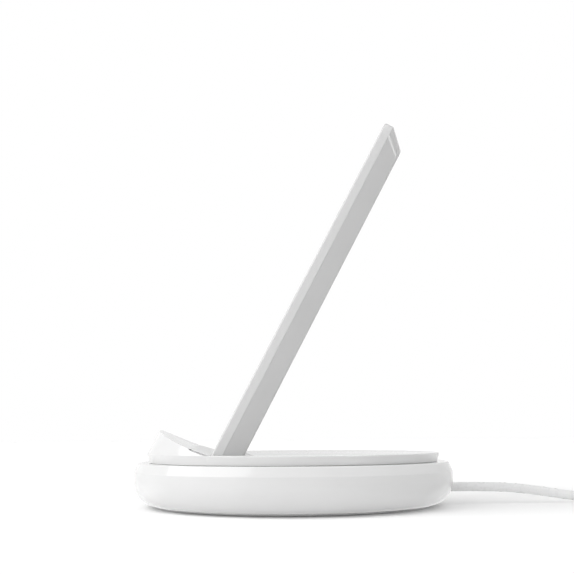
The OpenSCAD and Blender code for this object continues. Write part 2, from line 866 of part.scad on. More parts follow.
module plug_shell() {
    color("silver") at_plug() translate([0, 0, plug_nose_l + plug_l]) difference() {
        linear_extrude(metal_l) difference() {
            square([metal_w, metal_h], center = true);
            square([metal_w - 2 * metal_t, metal_h - 2 * metal_t], center = true);
        }
        for (s = [-1, 1]) translate([s * latch_y - latch / 2, -metal_h, metal_l / 2])
            cube([latch, 2 * metal_h, latch]);
    }
}

module plug_tongue() {
    color("ivory") at_plug()
        translate([-metal_w / 2 + metal_t, metal_h / 2 - metal_t - tongue_h, plug_nose_l + plug_l])
            cube([metal_w - 2 * metal_t, tongue_h, metal_l - tongue_short]);
}

foot_ring();
base_bowl();
ballast_plate();
ballast_screws();
main_board();
board_screws();
inductors();
capacitors();
chips();
flex_socket();
cord_socket();
inner_lead();
cord_clamp();
clamp_screws();
cord_grommet();
deck();
deck_screws();
ledge_pad();
stem_bracket();
bracket_screws();
coil_carrier();
carrier_screws();
ferrite_sheets();
lower_coil();
upper_coil();
thermistor();
flex_cable();
front_cover();
rear_shell();
cord_run();
cord_coil();
cord_tail();
cord_tie();
plug_body();
plug_shell();
plug_tongue();
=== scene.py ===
import json
import math
import bmesh
import bpy
from mathutils import Matrix, Vector


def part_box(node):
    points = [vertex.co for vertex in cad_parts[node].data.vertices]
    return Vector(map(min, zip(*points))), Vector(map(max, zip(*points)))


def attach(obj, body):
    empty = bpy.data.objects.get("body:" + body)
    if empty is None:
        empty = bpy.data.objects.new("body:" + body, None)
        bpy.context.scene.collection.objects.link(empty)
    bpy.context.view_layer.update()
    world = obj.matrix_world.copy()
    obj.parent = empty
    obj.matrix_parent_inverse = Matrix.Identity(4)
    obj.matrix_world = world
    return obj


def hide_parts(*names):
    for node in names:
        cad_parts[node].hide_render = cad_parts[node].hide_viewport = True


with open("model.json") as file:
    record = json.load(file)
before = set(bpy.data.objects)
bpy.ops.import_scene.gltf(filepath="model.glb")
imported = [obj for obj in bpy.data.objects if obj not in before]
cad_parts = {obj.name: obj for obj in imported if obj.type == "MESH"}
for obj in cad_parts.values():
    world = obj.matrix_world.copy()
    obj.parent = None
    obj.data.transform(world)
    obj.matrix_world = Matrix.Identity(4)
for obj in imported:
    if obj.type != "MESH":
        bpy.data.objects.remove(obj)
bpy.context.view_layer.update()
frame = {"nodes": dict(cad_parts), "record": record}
scene = bpy.context.scene
scene.view_settings.view_transform = "Standard"

MM = 0.001
TURN = 2 * math.pi
UP = Vector((0, 0, 1))
WHITE = (1, 1, 1, 1)


# Sizes in millimetres and degrees: those of the solids, and the fine rounds and gaps of the drawn skins

base_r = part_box("base_bowl")[1].x / MM
belly_z = 11.2
belly_w = 8.5
belly_r = base_r - belly_w
foot_gap = 0.5
foot_round = 0.2
rim_h = 0.6
rim_in = 0.5
crease_z = 14.3
crease_in = 0.1
crease_round = 0.8
shelf_z = 17.9
shelf_in = 1.7
shelf_round = 0.5
shelf_t = 2
mouth_round = 0.2
base_wall = 2.2
floor_z = 3.1
ring_in = 45.5
ring_out = 54.5
ring_round = 0.3
groove_t = 1.2

deck_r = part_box("deck")[1].x / MM
deck_z = 21.5
deck_draft = 0.9
brim_r = 0.5
brim_gap = 0.02
brim_foot_w = 0.15
brim_foot_h = 0.2
opening_r = 57.5
skirt_r = 57.2
skirt_z = 14.9

lip_h = 9.8
lip_round = 0.45
ledge_dip = 0.8
kink_round = 0.25
pad_w = 8
pad_proud = 0.2
pad_sunk = 0.5
pad_flange = 0.3
pad_flange_t = 0.05
pad_margin = 0.15
pad_round = 0.1
pad_undercut = 1.2
pad_end = 0.5

lean = math.radians(62.3)
foot_x = -32.6
upright_w = 80
upright_len = 150.5
upright_sunk = 0.2
cover_t = 3.7
shell_t = 7.35
corner_r = 7.5
side_taper = 1.2
top_taper = 7.9
edge_r = 0.7
seam = 0.12

cord_d = 3.9
cord_r = cord_d / 2
cord_z = 6.9
bush_r = 2.9
bush_proud = 0.12
bush_sunk = 0.5
bush_round = 0.1

store_d = 40
store_cols = 3
store_rows = 4
laps = 11
lap_shift = 40
shift_start = 280
tie_t = 0.6
tie_angle = 22
tie_gap = 0.05
tie_round = 0.8
tie_inner_round = 0.3
tie_edge = 0.18

plug_w = 15
plug_h = 7.5
plug_z = plug_h / 2
plug_l = 22
plug_round = 2
plug_nose_l = 5
plug_nose_r = 2.4
plug_tip_r = 2.2
plug_heel_r = 3.2
rib_count = 3
rib_start = 0.6
rib_pitch = 1.3
rib_r = 2.45
rib_growth = 0.25
rib_depth = 0.3
rib_gap = 0.5
rib_slope = 0.1


# Camera, as the photograph has it. The charger stands turned a little before it, and as no solid is
# moved, the camera goes round by that angle instead.

frame_px = 574
focal_px = 894.37
sensor_mm = 36
camera_place = (-2.10, -383.1, 29.0)
camera_pitch = math.radians(9.372)
camera_roll = math.radians(-0.371)
object_yaw = math.radians(2.26)

back = Matrix.Rotation(-object_yaw, 3, "Z")
ahead = Vector((0, math.cos(camera_pitch), math.sin(camera_pitch)))
above = Vector((0, -math.sin(camera_pitch), math.cos(camera_pitch)))
right = Vector((1, 0, 0))
camera_x = back @ (math.cos(camera_roll) * right + math.sin(camera_roll) * above)
camera_y = back @ (math.cos(camera_roll) * above - math.sin(camera_roll) * right)
camera_z = -(back @ ahead)
camera_at = back @ Vector(camera_place) * MM

camera_data = bpy.data.cameras.new("camera")
camera_data.sensor_width = sensor_mm
camera_data.lens = sensor_mm * focal_px / frame_px
camera_data.clip_start = 0.01
camera_data.clip_end = 20
camera = bpy.data.objects.new("camera", camera_data)
camera.matrix_world = Matrix((
    (camera_x.x, camera_y.x, camera_z.x, camera_at.x),
    (camera_x.y, camera_y.y, camera_z.y, camera_at.y),
    (camera_x.z, camera_y.z, camera_z.z, camera_at.z),
    (0, 0, 0, 1),
))
scene.collection.objects.link(camera)
scene.camera = camera


# Node helpers

def calculate(tree, operation, *values, clamp=False):
    """Result of a math node whose inputs are numbers or the outputs of other nodes."""
    node = tree.nodes.new("ShaderNodeMath")
    node.operation = operation
    node.use_clamp = clamp
    for socket, value in zip(node.inputs, values):
        if isinstance(value, bpy.types.NodeSocket):
            tree.links.new(value, socket)
        else:
            socket.default_value = value
    return node.outputs[0]


def noise(tree, place, scale, detail=3.0, stretch=(1, 1, 1)):
    """Noise fixed to the object, with its scale per metre."""
    mapping = tree.nodes.new("ShaderNodeMapping")
    mapping.inputs["Scale"].default_value = stretch
    texture = tree.nodes.new("ShaderNodeTexNoise")
    texture.inputs["Scale"].default_value = scale
    texture.inputs["Detail"].default_value = detail
    tree.links.new(place.outputs["Object"], mapping.inputs["Vector"])
    tree.links.new(mapping.outputs["Vector"], texture.inputs["Vector"])
    return texture.outputs["Fac"]


def between(tree, value, low, high):
    """Spreads the middle of a noise's range over the values from low to high."""
    span = tree.nodes.new("ShaderNodeMapRange")
    span.inputs["From Min"].default_value = 0.3
    span.inputs["From Max"].default_value = 0.7
    span.inputs["To Min"].default_value = low
    span.inputs["To Max"].default_value = high
    tree.links.new(value, span.inputs["Value"])
    return span.outputs["Result"]


def grey(tone):
    return (tone, tone, tone)


def shade(colour, change):
    """The colour made lighter, or darker where the change is below 0."""
    return tuple(max(0, min(1, c + change)) for c in colour)


def tint(tree, value, colour, spread):
    """A colour that a noise makes darker and lighter by the spread."""
    mix = tree.nodes.new("ShaderNodeMix")
    mix.data_type = "RGBA"
    mix.inputs["A"].default_value = (*shade(colour, -spread), 1)
    mix.inputs["B"].default_value = (*shade(colour, spread), 1)
    tree.links.new(between(tree, value, 0, 1), mix.inputs["Factor"])
    return mix.outputs["Result"]


def bump(tree, shader, value, height):
    """Lets a value raise the surface by up to the height, in metres."""
    node = tree.nodes.new("ShaderNodeBump")
    node.inputs["Strength"].default_value = 1
    node.inputs["Distance"].default_value = height
    tree.links.new(value, node.inputs["Height"])
    tree.links.new(node.outputs["Normal"], shader.inputs["Normal"])


# Materials, each kept under the name of its slot

slot_materials = {}


def new_material(name):
    """An empty material, given as its node tree, its shader and its texture coordinates."""
    material = bpy.data.materials.new(name)
    material.use_nodes = True
    slot_materials[name] = material
    tree = material.node_tree
    place = tree.nodes.new("ShaderNodeTexCoord")
    return tree, tree.nodes["Principled BSDF"], place


def plastic(name, colour, rough, grain=900, grain_h=0.0000015, coat=0.0):
    """Moulded plastic: faint tone changes, uneven gloss and the fine texture of its mould."""
    tree, shader, place = new_material(name)
    tone = tint(tree, noise(tree, place, scale=35), colour, spread=0.008)
    gloss = between(tree, noise(tree, place, scale=120), rough * 0.85, rough * 1.15)
    tree.links.new(tone, shader.inputs["Base Color"])
    tree.links.new(gloss, shader.inputs["Roughness"])
    bump(tree, shader, noise(tree, place, scale=grain, detail=2), grain_h)
    shader.inputs["IOR"].default_value = 1.5
    shader.inputs["Coat Weight"].default_value = coat
    shader.inputs["Coat Roughness"].default_value = 0.03


def rubber(name, colour, rough=0.55):
    """Soft silicone or cord sheath: dull, with a fine matt grain."""
    tree, shader, place = new_material(name)
    tone = tint(tree, noise(tree, place, scale=180), colour, spread=0.02)
    gloss = between(tree, noise(tree, place, scale=600), rough - 0.06, rough + 0.06)
    tree.links.new(tone, shader.inputs["Base Color"])
    tree.links.new(gloss, shader.inputs["Roughness"])
    bump(tree, shader, noise(tree, place, scale=2200, detail=2), 0.00001)
    shader.inputs["IOR"].default_value = 1.43


def metal(name, colour, rough=0.3, stretch=(1, 1, 30)):
    """Metal with the fine lines of its rolling or plating."""
    tree, shader, place = new_material(name)
    lines = noise(tree, place, scale=400, detail=4, stretch=stretch)
    tree.links.new(tint(tree, lines, colour, spread=0.04), shader.inputs["Base Color"])
    tree.links.new(between(tree, lines, rough - 0.08, rough + 0.08), shader.inputs["Roughness"])
    bump(tree, shader, lines, 0.000004)
    shader.inputs["Metallic"].default_value = 1


plastic("housing_white", grey(0.78), 0.08, coat=0.3)
plastic("cover_white", grey(0.71), 0.1)
# The rear shell is the same white plastic as the cover, but its colour is set darker: painted shade standing
# in for the dimmer light on its backward-tapering sides
plastic("shell_white", grey(0.59), 0.1)
rubber("soft_foot", grey(0.42))
rubber("soft_pad", grey(0.80), 0.4)
metal("weight_steel", (0.45, 0.45, 0.46))
metal("bracket_steel", (0.52, 0.52, 0.53))
metal("screw_steel", (0.25, 0.25, 0.26), 0.35)
plastic("board_green", (0.02, 0.16, 0.06), 0.35, grain=1500)
plastic("component_black", grey(0.03), 0.5)
metal("capacitor_metal", (0.6, 0.6, 0.61))
plastic("socket_ivory", (0.7, 0.67, 0.55), 0.45)
plastic("carrier_white", (0.7, 0.7, 0.68), 0.45)
plastic("ferrite", grey(0.05), 0.6)
metal("winding_copper", (0.6, 0.28, 0.12), 0.35, stretch=(1, 1, 1))
plastic("flex_amber", (0.6, 0.3, 0.04), 0.3)
rubber("cord_white", grey(0.90), 0.3)
rubber("tie_grey", (0.45, 0.45, 0.46), 0.5)
plastic("plug_white", grey(0.76), 0.35, grain=1600, grain_h=0.00001)
metal("plug_metal", grey(0.7), 0.22)
plastic("plug_tongue", (0.78, 0.77, 0.72), 0.4)

slot_of = {row["node"]: row["material_slot"] for row in frame["record"]["subparts"]}
for name, node in frame["nodes"].items():
    node.data.materials.clear()
    node.data.materials.append(slot_materials[slot_of[name]])


# Mesh helpers

weld = 0.002


def add_piece(name, verts, faces, slot, node, sharp=40):
    """A smooth-shaded piece from points in millimetres, which stands for the given node."""
    mesh = bpy.data.meshes.new(name)
    mesh.from_pydata([Vector(v) * MM for v in verts], [], faces)
    work = bmesh.new()
    work.from_mesh(mesh)
    bmesh.ops.remove_doubles(work, verts=work.verts, dist=weld * MM)
    bmesh.ops.recalc_face_normals(work, faces=work.faces)
    work.to_mesh(mesh)
    work.free()
    mesh.shade_smooth()
    mesh.set_sharp_from_angle(angle=math.radians(sharp))
    mesh.materials.append(slot_materials[slot])
    piece = bpy.data.objects.new(name, mesh)
    scene.collection.objects.link(piece)
    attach(piece, "root")
    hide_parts(node)
    return piece


def ease(t):
    """Rises softly from 0 to 1 between those values of t."""
    t = max(0, min(1, t))
    return t * t * (3 - 2 * t)


def arc(centre, radius_x, radius_z, start, end, steps):
    """Points of an elliptic arc, with its angles in degrees."""
    angles = [math.radians(start + (end - start) * i / steps) for i in range(steps + 1)]
    return [(centre[0] + radius_x * math.cos(a), centre[1] + radius_z * math.sin(a)) for a in angles]


def rounded(corners):
    """A path through corners given as (x, z) or (x, z, radius), with arcs at those that have a radius."""
    steps = 5
    path = []
    for i, corner in enumerate(corners):
        here = Vector(corner[:2])
        if len(corner) == 2:
            path.append(tuple(here))
            continue
        radius = corner[2]
        before = (Vector(corners[i - 1][:2]) - here).normalized()
        after = (Vector(corners[(i + 1) % len(corners)][:2]) - here).normalized()
        half = before.angle(after) / 2
        centre = here + (before + after).normalized() * radius / math.sin(half)
        start = here + before * radius / math.tan(half) - centre
        end = here + after * radius / math.tan(half) - centre
        for k in range(steps + 1):
            path.append(tuple(centre + start.slerp(end, k / steps) * radius))
    return path


def lathe(profile):
    """Turns a profile of (radius, z) about the upright axis."""
    steps = 256
    on_axis = 1e-6
    angles = [TURN * k / steps for k in range(steps)]
    verts, faces, rings = [], [], []
    for r, z in profile:
        first = len(verts)
        if r < on_axis:
            verts.append((0, 0, z))
            rings.append([first] * steps)
        else:
            verts += [(r * math.cos(a), r * math.sin(a), z) for a in angles]
            rings.append(list(range(first, first + steps)))
    for low, high in zip(rings, rings[1:]):
        for k in range(steps):
            m = (k + 1) % steps
            face = list(dict.fromkeys((low[k], low[m], high[m], high[k])))
            if len(face) > 2:
                faces.append(face)
    return verts, faces


def bridge(rings, closed=False, capped=False):
    """Joins rings with the same number of points by quads, with faces over both ends if capped."""
    count = len(rings[0])
    verts = [p for ring in rings for p in ring]
    faces = []
    for i in range(len(rings) - 1):
        for k in range(count if closed else count - 1):
            m = (k + 1) % count
            a, b = i * count, (i + 1) * count
            faces.append((a + k, a + m, b + m, b + k))
    if capped:
        faces.append(tuple(range(count - 1, -1, -1)))
        faces.append(tuple(range((len(rings) - 1) * count, len(rings) * count)))
    return verts, faces


# Cord: along the table, round the stored turns and on to the plug

cord_points = [(base_r, 0, cord_z), (72, 0, 6.9), (80, 0, 6.8), (88, 0, 6.6), (96, 0, 6), (104, 0, 5),
               (112, 0.3, 3.8), (120, 0.7, 2.7), (128, 1.2, 2.1), (136, 1.7, 2), (142, 2.2, 2),
               (147, 2.5, 2.1)]
clear = 0.3
run_end = cord_points[-1]
lead_in = (155, 2.5, 2.3)

store_r = store_d / 2
store_half = store_cols / 2 * cord_d
store_out = store_r + store_half
store_h = store_rows * cord_d
store_x = run_end[0] + clear + math.sqrt(2 * store_out * cord_d - cord_d ** 2)
store_y = run_end[1] - cord_r + store_out

tail_turn = math.radians(-56)
tail_x = store_x + (store_out + cord_r + clear) * math.cos(tail_turn)
tail_y = store_y + (store_out + cord_r + clear) * math.sin(tail_turn)
tail_points = [(tail_x, tail_y, 14), (tail_x + 7, tail_y + 4, 12.4), (tail_x + 12, tail_y + 9, 10),
               (tail_x + 15, tail_y + 15, 7.2), (tail_x + 16, tail_y + 21, 5),
               (tail_x + 16, tail_y + 27, plug_z), (tail_x + 16, tail_y + 32, plug_z)]
tail_end = tail_points[-1]


def store_point(turned):
    """The cord's centre after that many degrees round the stored coil, which starts nearest the exit.

    The laps lie in columns side by side and in rows one above the other. Within lap_shift degrees of each
    lap the cord moves over to the next column, or up to the next row once its row is full.
    """
    moves = store_cols - 1
    column = moves
    row = 0
    for layer in range(store_rows):
        way = -1 if layer % 2 == 0 else 1
        first = store_cols * layer
        start = shift_start - 2 * lap_shift * layer
        for lap in range(first, first + moves):
            column += way * ease((turned - 360 * lap - start) / lap_shift)
        if layer < store_rows - 1:
            row += ease((turned - 360 * (first + moves) - start + lap_shift) / lap_shift)
    r = store_r + (column - moves / 2) * cord_d
    angle = math.radians(turned - 90)
    return (store_x + r * math.cos(angle), store_y + r * math.sin(angle), tie_t + (row + 0.5) * cord_d)


def smooth_path(points, step):
    """Points about a step apart on a smooth curve through the given ones."""
    path = []
    last = len(points) - 1
    for i in range(last):
        a, b, c, d = [Vector(points[max(0, min(last, k))]) for k in (i - 1, i, i + 1, i + 2)]
        count = max(1, round((c - b).length / step))
        for k in range(count):
            t = k / count
            curve = 2 * b + (c - a) * t + (2 * a - 5 * b + 4 * c - d) * t * t
            curve += (3 * b - a - 3 * c + d) * t ** 3
            path.append(curve / 2)
    path.append(Vector(points[-1]))
    return path


turn_step = 7.5
route_step = 1.6
stored = [store_point(turn_step * k) for k in range(int(laps * 360 / turn_step) + 1)]
cord_route = smooth_path(cord_points + [lead_in] + stored[1:] + tail_points, route_step)

cord_data = bpy.data.curves.new("cord", "CURVE")
cord_data.dimensions = "3D"
cord_data.bevel_depth = cord_r * MM
cord_data.bevel_resolution = 4
cord_data.use_fill_caps = True
spline = cord_data.splines.new("POLY")
spline.points.add(len(cord_route) - 1)
for point, place in zip(spline.points, cord_route):
    point.co = (*(place * MM), 1)
spline.use_smooth = True
cord_data.materials.append(slot_materials["cord_white"])
cord = bpy.data.objects.new("cord", cord_data)
scene.collection.objects.link(cord)
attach(cord, "root")
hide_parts("cord_run", "cord_coil", "cord_tail")


# Base

def bowl_profile():
    """The lower housing's skin from the middle of its floor, up the outside and back down the inside."""
    rim_z = foot_gap + rim_h
    under = rounded([(0, foot_gap), (ring_in, foot_gap), (ring_in, foot_gap + groove_t),
                     (ring_out, foot_gap + groove_t), (ring_out, foot_gap),
                     (belly_r - rim_in, foot_gap, foot_round), (belly_r - rim_in, rim_z)])
    belly = arc((belly_r, belly_z), belly_w, belly_z - rim_z, -90, 0, steps=40)
    top = rounded([(base_r, belly_z), (base_r - crease_in, crease_z, crease_round),
                   (base_r - shelf_in, shelf_z, shelf_round), (opening_r, shelf_z, mouth_round),
                   (opening_r, shelf_z - shelf_t), (base_r - shelf_in - base_wall, shelf_z - shelf_t)])
    inner = arc((belly_r, belly_z), belly_w - base_wall, belly_z - floor_z, 0, -90, steps=16)
    return under + belly + top[1:] + inner + [(0, floor_z)]


add_piece("base_bowl_skin", *lathe(bowl_profile()), "housing_white", "base_bowl", sharp=30)


def foot_profile():
    """The soft ring's section, from its groove down to the table and back."""
    top = foot_gap + groove_t
    return rounded([(ring_in, top), (ring_in, 0, ring_round), (ring_out, 0, ring_round), (ring_out, top),
                    (ring_in, top)])


add_piece("foot_ring_skin", *lathe(foot_profile()), "soft_foot", "foot_ring")


def bush_mesh():
    """The soft bush round the cord, a low bead that follows the belly."""
    steps = 48
    belly_h = belly_z - foot_gap - rim_h
    section = rounded([(cord_r, -bush_sunk), (cord_r, bush_proud, bush_round),
                       (bush_r, bush_proud, bush_round), (bush_r, -bush_sunk)])
    rings = []
    for radius, lift in section:
        ring = []
        for k in range(steps):
            turn = TURN * k / steps
            y = radius * math.cos(turn)
            z = cord_z + radius * math.sin(turn)
            wide = belly_r + belly_w * math.sqrt(1 - ((z - belly_z) / belly_h) ** 2)
            ring.append((math.sqrt(wide ** 2 - y ** 2) + lift, y, z))
        rings.append(ring)
    return bridge(rings, closed=True)


bush = add_piece("cord_bush", *bush_mesh(), "cord_white", "cord_grommet")


# Deck with lip and ledge, which a wide level cylinder cuts from the lip's tip to the upright's foot

tip_x = -deck_r + lip_h / math.tan(lean)
tip_z = deck_z + lip_h
chord = math.hypot(foot_x - tip_x, lip_h)
scoop_r = chord ** 2 / (8 * ledge_dip) + ledge_dip / 2
scoop_x = (tip_x + foot_x) / 2 + lip_h / chord * (scoop_r - ledge_dip)
scoop_z = (tip_z + deck_z) / 2 + (foot_x - tip_x) / chord * (scoop_r - ledge_dip)
lip_end = math.acos(foot_x / deck_r)


def ledge_z(x):
    """Height of the ledge at x."""
    return scoop_z - math.sqrt(scoop_r ** 2 - (x - scoop_x) ** 2)


def lip_rise(x):
    """How far the leaning wall above the point x of the deck's edge rises before it meets the ledge."""
    run = 1 / math.tan(lean)
    px = x - scoop_x
    pz = deck_z - scoop_z
    a = run * run + 1
    b = px * run + pz
    c = px * px + pz * pz - scoop_r ** 2
    return max(0, (-b - math.sqrt(max(0, b * b - a * c))) / a)


def on_lip(angle):
    """Whether the deck's edge is raised to the lip, that many radians round from the back."""
    return deck_r * math.cos(angle) < foot_x


def rim_point(angle):
    """Where the deck's outer wall ends above its edge."""
    x = deck_r * math.cos(angle)
    rise = lip_rise(x) if on_lip(angle) else 0
    return Vector((x + rise / math.tan(lean), deck_r * math.sin(angle), deck_z + rise))


def recess(x):
    """How far the ledge is sunk at x for the soft strip."""
    if x >= foot_x:
        return 0
    return min(pad_sunk * ease((x - foot_x + pad_w) / pad_end + 0.5), lip_rise(x))


def inward_at(angle, rim):
    """Direction from the rim into the top surface, which is straight across the deck where the lip begins."""
    turned_over = math.radians(9)
    tangent_step = 0.002
    out = Vector((math.cos(angle), math.sin(angle), 0))
    inward = -out
    if on_lip(angle):
        along = (rim_point(angle + tangent_step) - rim_point(angle - tangent_step)).normalized()
        slope = (rim.x - scoop_x) / (scoop_z - rim.z)
        inward = Vector((-slope, 0, 1)).normalized().cross(along).normalized()
        if inward.dot(out) > 0:
            inward = -inward
    side = Vector((0, -1 if rim.y > 0 else 1, 0))
    away = min(abs(angle - lip_end), abs(angle - (TURN - lip_end)))
    share = ease(away / turned_over)
    return (side * (1 - share) + inward * share).normalized()


def deck_column(angle):
    """One upright strip of the deck's edge, from the skirt up to the top surface."""
    curve_steps = 8
    full_rise = 3
    kink_share = 0.3
    out = Vector((math.cos(angle), math.sin(angle), 0))
    kink = out * deck_r + UP * deck_z
    foot_edge = out * (deck_r - deck_draft) + UP * shelf_z
    wall = (kink - foot_edge).normalized()
    rim = rim_point(angle)
    inward = inward_at(angle, rim)
    rim = rim - UP * recess(rim.x)
    rise = (rim - kink).length
    size = brim_r
    if on_lip(angle):
        size += (lip_round - brim_r) * ease(rise / full_rise)
    if rise > size:
        up_lip = (rim - kink).normalized()
        soft = min(kink_round, rise * kink_share)
        bend = [kink - wall * soft, kink - wall * soft * kink_share, kink + up_lip * soft]
        low = rim - up_lip * size
    else:
        low = kink - wall * (size - rise)
        bend = [low, low, low]
    high = rim + inward * size
    high.z = ledge_z(high.x) - recess(high.x) if on_lip(angle) else deck_z
    shares = [k / curve_steps for k in range(curve_steps + 1)]
    edge = [low * (1 - t) ** 2 + rim * 2 * t * (1 - t) + high * t * t for t in shares]
    skirt = [out * skirt_r + UP * skirt_z, out * skirt_r + UP * (shelf_z - brim_gap)]
    brim_foot = [foot_edge - out * brim_foot_w + UP * brim_gap, foot_edge + wall * brim_foot_h]
    return skirt + brim_foot + bend + edge


def deck_mesh():
    """The deck's edge as two mirrored halves, joined by faces across the skirt's foot and the top."""
    plain_steps = 90
    lip_steps = 72
    last_angle = math.pi - 1e-5  # a hair short of the middle, so that it still lies on its own half
    angles = [lip_end * k / plain_steps for k in range(plain_steps)]
    angles += [lip_end + (math.pi - lip_end) * k / lip_steps for k in range(lip_steps + 1)]
    columns = [deck_column(min(a, last_angle)) for a in angles]
    other = [[Vector((p.x, -p.y, p.z)) for p in column] for column in columns]
    verts, faces = bridge(columns)
    more, extra = bridge(other)
    shift = len(verts)
    verts += more
    faces += [tuple(i + shift for i in face) for face in extra]
    count = len(columns[0])
    for row in (0, count - 1):
        for k in range(len(columns) - 1):
            a = k * count + row
            b = a + count
            faces.append((a, b, b + shift, a + shift))
    return verts, faces


add_piece("deck_skin", *deck_mesh(), "housing_white", "deck", sharp=18)


# Soft strip on the ledge

def edge_y(x, z):
    """Half the deck's width at a place on the leaning wall."""
    flat = x - (z - deck_z) / math.tan(lean)
    return math.sqrt(max(0, deck_r ** 2 - flat ** 2))


def pad_mesh():
    """The strip's skin: its body sits in the recess, and thin flanges reach the deck's edge on both sides."""
    steps = 16
    start = foot_x - pad_w
    flat = pad_w - 2 * pad_round
    stations = [(start, -pad_sunk), (start, pad_proud - pad_round), (start + pad_round, pad_proud)]
    stations += [(start + pad_round + flat * k / steps, pad_proud) for k in range(1, steps + 1)]
    stations += [(foot_x, pad_proud - pad_round), (foot_x, -pad_sunk)]
    rings = []
    for x, lift in stations:
        z = ledge_z(x)
        y = edge_y(x, z) - pad_margin
        top = z + lift
        half = [(y - pad_undercut, z - pad_sunk), (y - pad_undercut, top - pad_flange),
                (y, top - pad_flange + pad_flange_t), (y, top - pad_round), (y - pad_round, top)]
        rings.append([(x, -y, z) for y, z in half] + [(x, y, z) for y, z in reversed(half)])
    return bridge(rings, closed=True, capped=True)


add_piece("ledge_pad_skin", *pad_mesh(), "soft_pad", "ledge_pad", sharp=50)


# Upright

def in_upright(depth, y, up):
    """A place in the upright, given by its depth, width and height along it."""
    return (foot_x + depth * math.sin(lean) + up * math.cos(lean), y,
            deck_z - depth * math.cos(lean) + up * math.sin(lean))


def upright_ring(depth, inset, drop, radius):
    """The upright's outline at a depth: up one side, round the two top corners and down the other.

    Its sides lie in by the inset, its top lies lower by the drop, and its top corners have the radius.
    """
    side_steps = 6
    corner_steps = 12
    half = upright_w / 2 - inset
    top = upright_len - drop
    low = depth / math.tan(lean) - upright_sunk
    left = [(-half, low + (top - radius - low) * k / side_steps) for k in range(side_steps)]
    left += arc((-half + radius, top - radius), radius, radius, 180, 90, corner_steps)
    outline = left + [(-y, z) for y, z in reversed(left)]
    return [in_upright(depth, y, z) for y, z in outline]


def upright_mesh(sections):
    """One half of the upright from its sections, each as upright_ring takes it."""
    return bridge([upright_ring(*section) for section in sections], closed=True, capped=True)


# The narrow band round each flat face keeps the shading of its rounded edge off the face

edge_steps = 6
face_band = 0.6


def cover_sections():
    """Sections of the front half, from the middle of its flat face back to the seam."""
    face_inset = edge_r + 6
    face_radius = 1
    band_inset = edge_r + face_band
    face = [(0, face_inset, face_inset, face_radius), (0, band_inset, band_inset, corner_r - band_inset)]
    front = []
    for k in range(edge_steps + 1):
        a = math.pi / 2 * k / edge_steps
        inset = edge_r * (1 - math.sin(a))
        front.append((edge_r * (1 - math.cos(a)), inset, inset, corner_r - inset))
    end = [(cover_t - seam, 0, 0, corner_r), (cover_t, seam, seam, corner_r - seam)]
    return face + front + end


def shell_sections():
    """Sections of the rear half, from the seam over its tapering sides and top to its flat back."""
    wall_steps = 8
    face_inset = 5
    face_radius = 0.5
    side_slope = side_taper / shell_t
    top_slope = top_taper / shell_t
    sections = [(cover_t, seam, seam, corner_r - seam)]
    for k in range(wall_steps + 1):
        run = seam + (shell_t - edge_r - seam) * k / wall_steps
        sections.append((cover_t + run, side_slope * run, top_slope * run, corner_r - side_slope * run))
    for k in range(1, edge_steps + 1):
        a = math.pi / 2 * k / edge_steps
        run = shell_t - edge_r * (1 - math.sin(a))
        turn = edge_r * (1 - math.cos(a))
        inset = side_slope * run + turn
        sections.append((cover_t + run, inset, top_slope * run + turn, corner_r - inset))
    depth, inset, drop, radius = sections[-1]
    sections.append((depth, inset + face_band, drop + face_band, radius - face_band))
    sections.append((depth, inset + face_inset, drop + face_inset, face_radius))
    return sections


add_piece("front_cover_skin", *upright_mesh(cover_sections()), "cover_white", "front_cover", sharp=35)
# The rear shell takes the darker white, whose painted shade stands in for the dimmer light on its sides
add_piece("rear_shell_skin", *upright_mesh(shell_sections()), "shell_white", "rear_shell", sharp=30)


# Plug

def plug_ring(along, half_w, half_h, radius):
    """A rounded rectangle across the plug, that far behind the end of the cord."""
    corners = [(half_w, -half_h), (half_w, half_h), (-half_w, half_h), (-half_w, -half_h)]
    ring = rounded([(x, z, radius) for x, z in corners])
    return [(tail_end[0] + x, tail_end[1] + along, tail_end[2] + z) for x, z in ring]


def round_section(along, radius):
    """A section of the nose, round but for four flats of a tenth of a millimetre."""
    return (along, radius, radius, radius - 0.05)


def body_section(along, inset_w, inset_h, radius):
    """A section of the grip, that far behind the nose and set in from its full width and height."""
    return (plug_nose_l + along, plug_w / 2 - inset_w, plug_h / 2 - inset_h, radius)


def plug_sections():
    """Sections of the nose with its ribs and of the grip, from the cord to the metal."""
    nose = [round_section(0, plug_tip_r), round_section(0.15, plug_nose_r)]
    for k in range(rib_count):
        y = rib_start + rib_pitch * k
        r = rib_r + rib_growth * k
        low = r - rib_depth
        nose += [round_section(y, r), round_section(y + rib_slope, low), round_section(y + rib_gap, low),
                 round_section(y + rib_gap + rib_slope, r + 0.05)]
    body = [round_section(plug_nose_l, plug_heel_r), body_section(0, 1.1, 0.85, 1.6),
            body_section(0.15, 0.55, 0.45, 1.8), body_section(0.6, 0.1, 0.1, plug_round),
            body_section(1.2, 0, 0, plug_round), body_section(plug_l - 1, 0, 0, plug_round),
            body_section(plug_l - 0.4, 0.1, 0.1, 1.95), body_section(plug_l, 0.5, 0.45, 1.7)]
    return nose + body


plug_rings = [plug_ring(*section) for section in plug_sections()]
plug = add_piece("plug_body_skin", *bridge(plug_rings, closed=True, capped=True), "plug_white",
                 "plug_body")


# Tie round the stored turns

def tie_section(half, low, high, radius):
    """A rounded rectangle across the bundle of turns, as (radius round the coil, height)."""
    return rounded([(store_r - half, low, radius), (store_r + half, low, radius),
                    (store_r + half, high, radius), (store_r - half, high, radius)])


